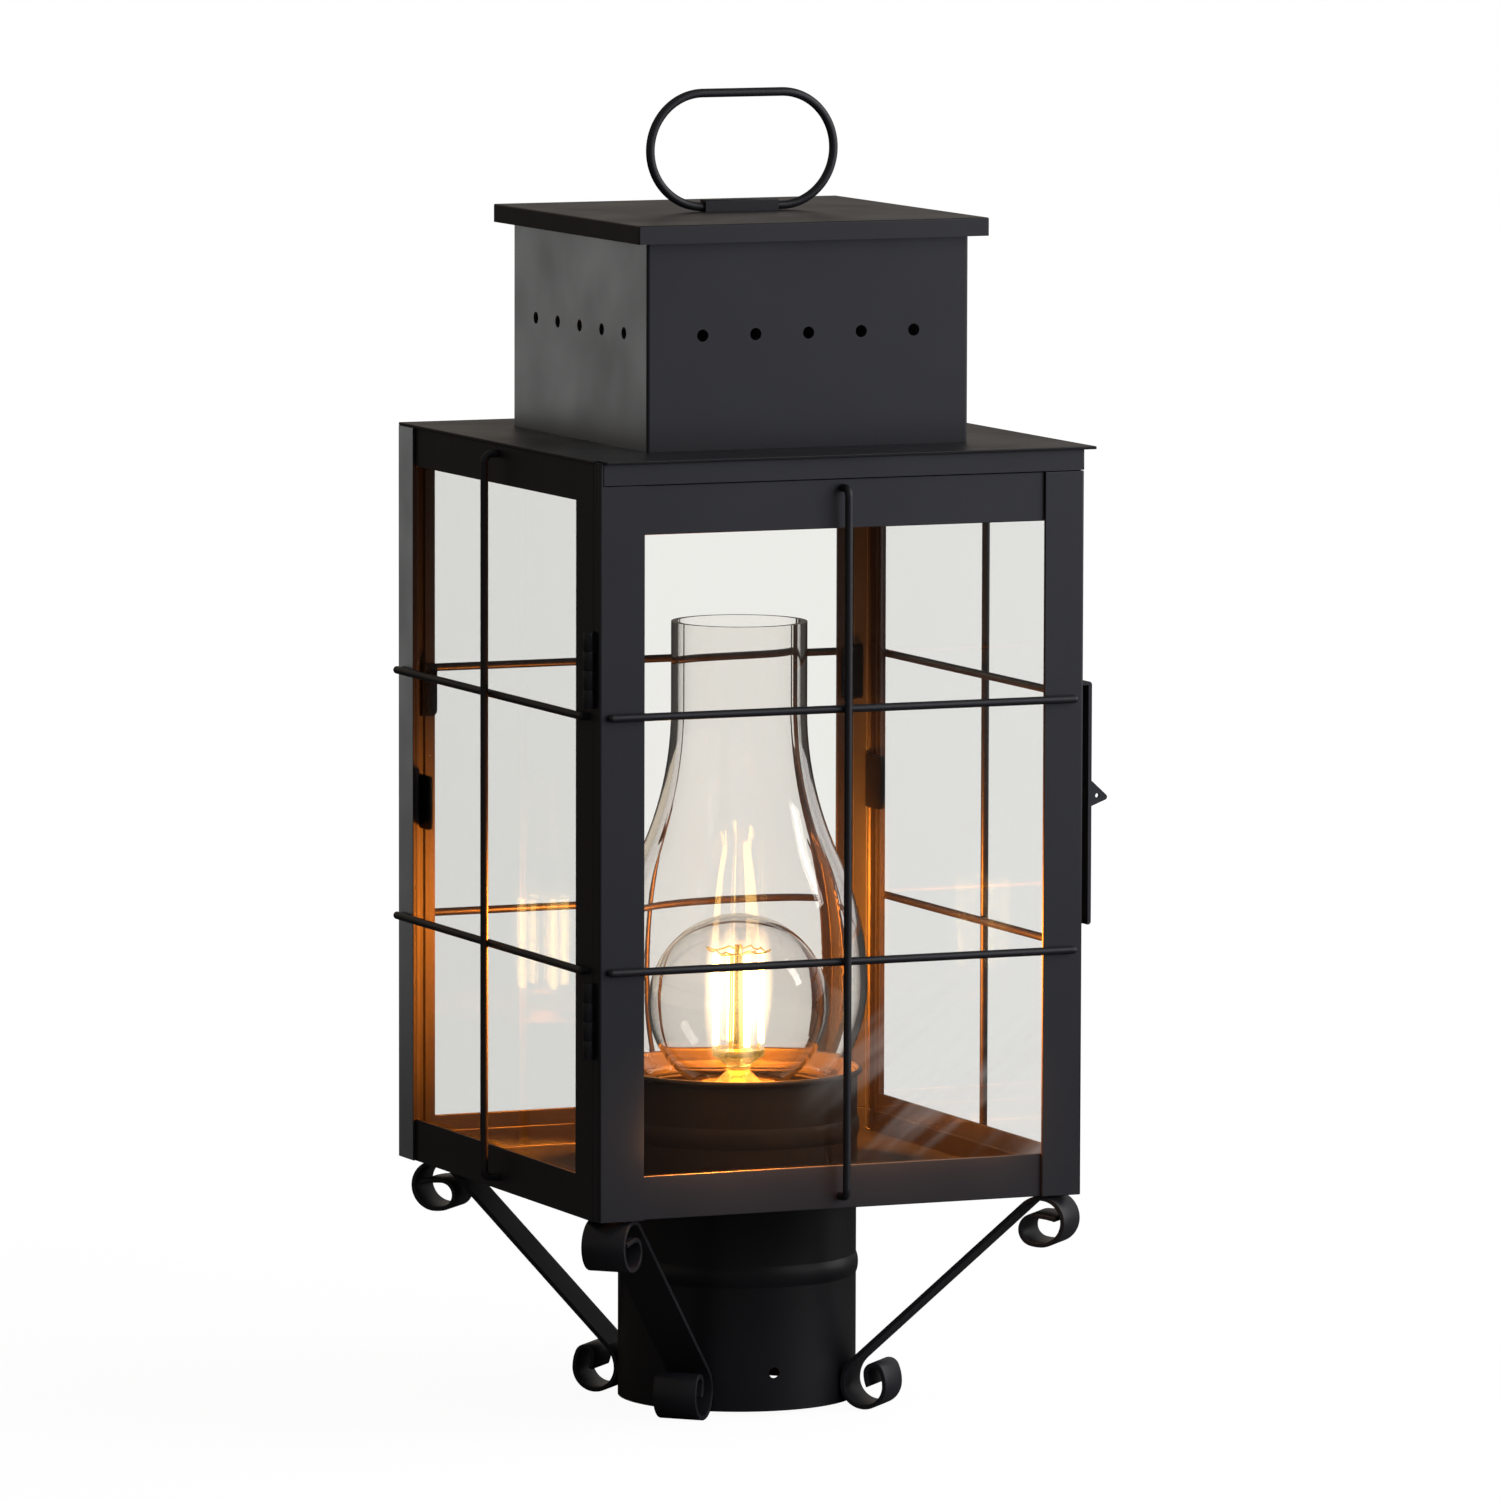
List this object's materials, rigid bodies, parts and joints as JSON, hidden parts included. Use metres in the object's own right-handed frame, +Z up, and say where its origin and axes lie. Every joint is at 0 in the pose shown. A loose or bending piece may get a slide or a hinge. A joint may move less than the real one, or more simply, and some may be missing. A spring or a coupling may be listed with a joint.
{
  "type": "victorian street lantern",
  "caption": "Square post-top lantern: glazed case with a hinged door and wire guards, vented stack with carry ring, glass chimney, round post fitter on scroll brackets.",
  "frame": {"origin": "centre of the post fitter's open mouth", "axes": "+Z up along the post, the door faces -Y and is hinged at -X"},
  "size_m": [0.187, 0.1824, 0.4348],
  "materials": {
    "black_metal": "satin black powder coat",
    "clip_metal": "satin black powder coat",
    "pane_glass": "clear",
    "chimney_glass": "clear",
    "bulb_glass": "clear",
    "filament": "glowing amber",
    "bulb_cap": "plated",
    "lampholder": "black"
  },
  "bodies": {
    "lantern": {"back_panel": "black_metal", "bulb_cap": "bulb_cap", "bulb_filaments": "filament", "bulb_glass": "bulb_glass", "bulb_stem": "bulb_glass", "chimney_seat": "black_metal", "clip_back_left": "clip_metal", "clip_back_right": "clip_metal", "clip_left_front": "clip_metal", "clip_left_rear": "clip_metal", "clip_right_front": "clip_metal", "clip_right_rear": "clip_metal", "corner_angle_left": "black_metal", "corner_angle_right": "black_metal", "floor_pan": "black_metal", "glass_chimney": "chimney_glass", "guard_bar_back": "black_metal", "guard_bar_left": "black_metal", "guard_bar_right": "black_metal", "guard_rod_back_lower": "black_metal", "guard_rod_back_upper": "black_metal", "guard_rod_left_lower": "black_metal", "guard_rod_left_upper": "black_metal", "guard_rod_right_lower": "black_metal", "guard_rod_right_upper": "black_metal", "header_strip": "black_metal", "hinge_fixed_leaf_lower": "black_metal", "hinge_fixed_leaf_upper": "black_metal", "hinge_pin_lower": "black_metal", "hinge_pin_upper": "black_metal", "lamp_bracket": "black_metal", "lampholder": "lampholder", "left_panel": "black_metal", "pane_back": "pane_glass", "pane_left": "pane_glass", "pane_right": "pane_glass", "post_fitter": "black_metal", "right_panel": "black_metal", "ring_strap": "black_metal", "roof_plate": "black_metal", "scroll_back_left": "black_metal", "scroll_back_right": "black_metal", "scroll_front_left": "black_metal", "scroll_front_right": "black_metal", "stack_cap": "black_metal", "vent_stack": "black_metal"},
    "door": {"door_clip_bottom": "clip_metal", "door_clip_top": "clip_metal", "door_pane": "pane_glass", "door_rail_bottom": "black_metal", "door_rail_top": "black_metal", "door_stile_left": "black_metal", "door_stile_right": "black_metal", "guard_bar_door": "black_metal", "guard_rod_door_lower": "black_metal", "guard_rod_door_upper": "black_metal", "hinge_door_leaf_lower": "black_metal", "hinge_door_leaf_upper": "black_metal"},
    "carry_ring": {"carry_ring": "black_metal"},
    "latch": {"latch": "black_metal"}
  },
  "joints": [
    {"name": "door_hinge", "type": "hinge", "parent": "lantern", "child": "door", "pos_m": [-0.0874, -0.08145, 0.1954], "axis": [0, 0, -1], "range_deg": [0, 170]},
    {"name": "ring_hinge", "type": "hinge", "parent": "lantern", "child": "carry_ring", "pos_m": [0, 0, 0.39455], "axis": [1, 0, 0], "range_deg": [-85, 85]},
    {"name": "latch_flex", "type": "hinge", "parent": "lantern", "child": "latch", "pos_m": [0.08565, -0.0782, 0.162], "axis": [0, 1, 0], "range_deg": [0, 6], "stiffness_Nm_per_rad": 0.5}
  ]
}
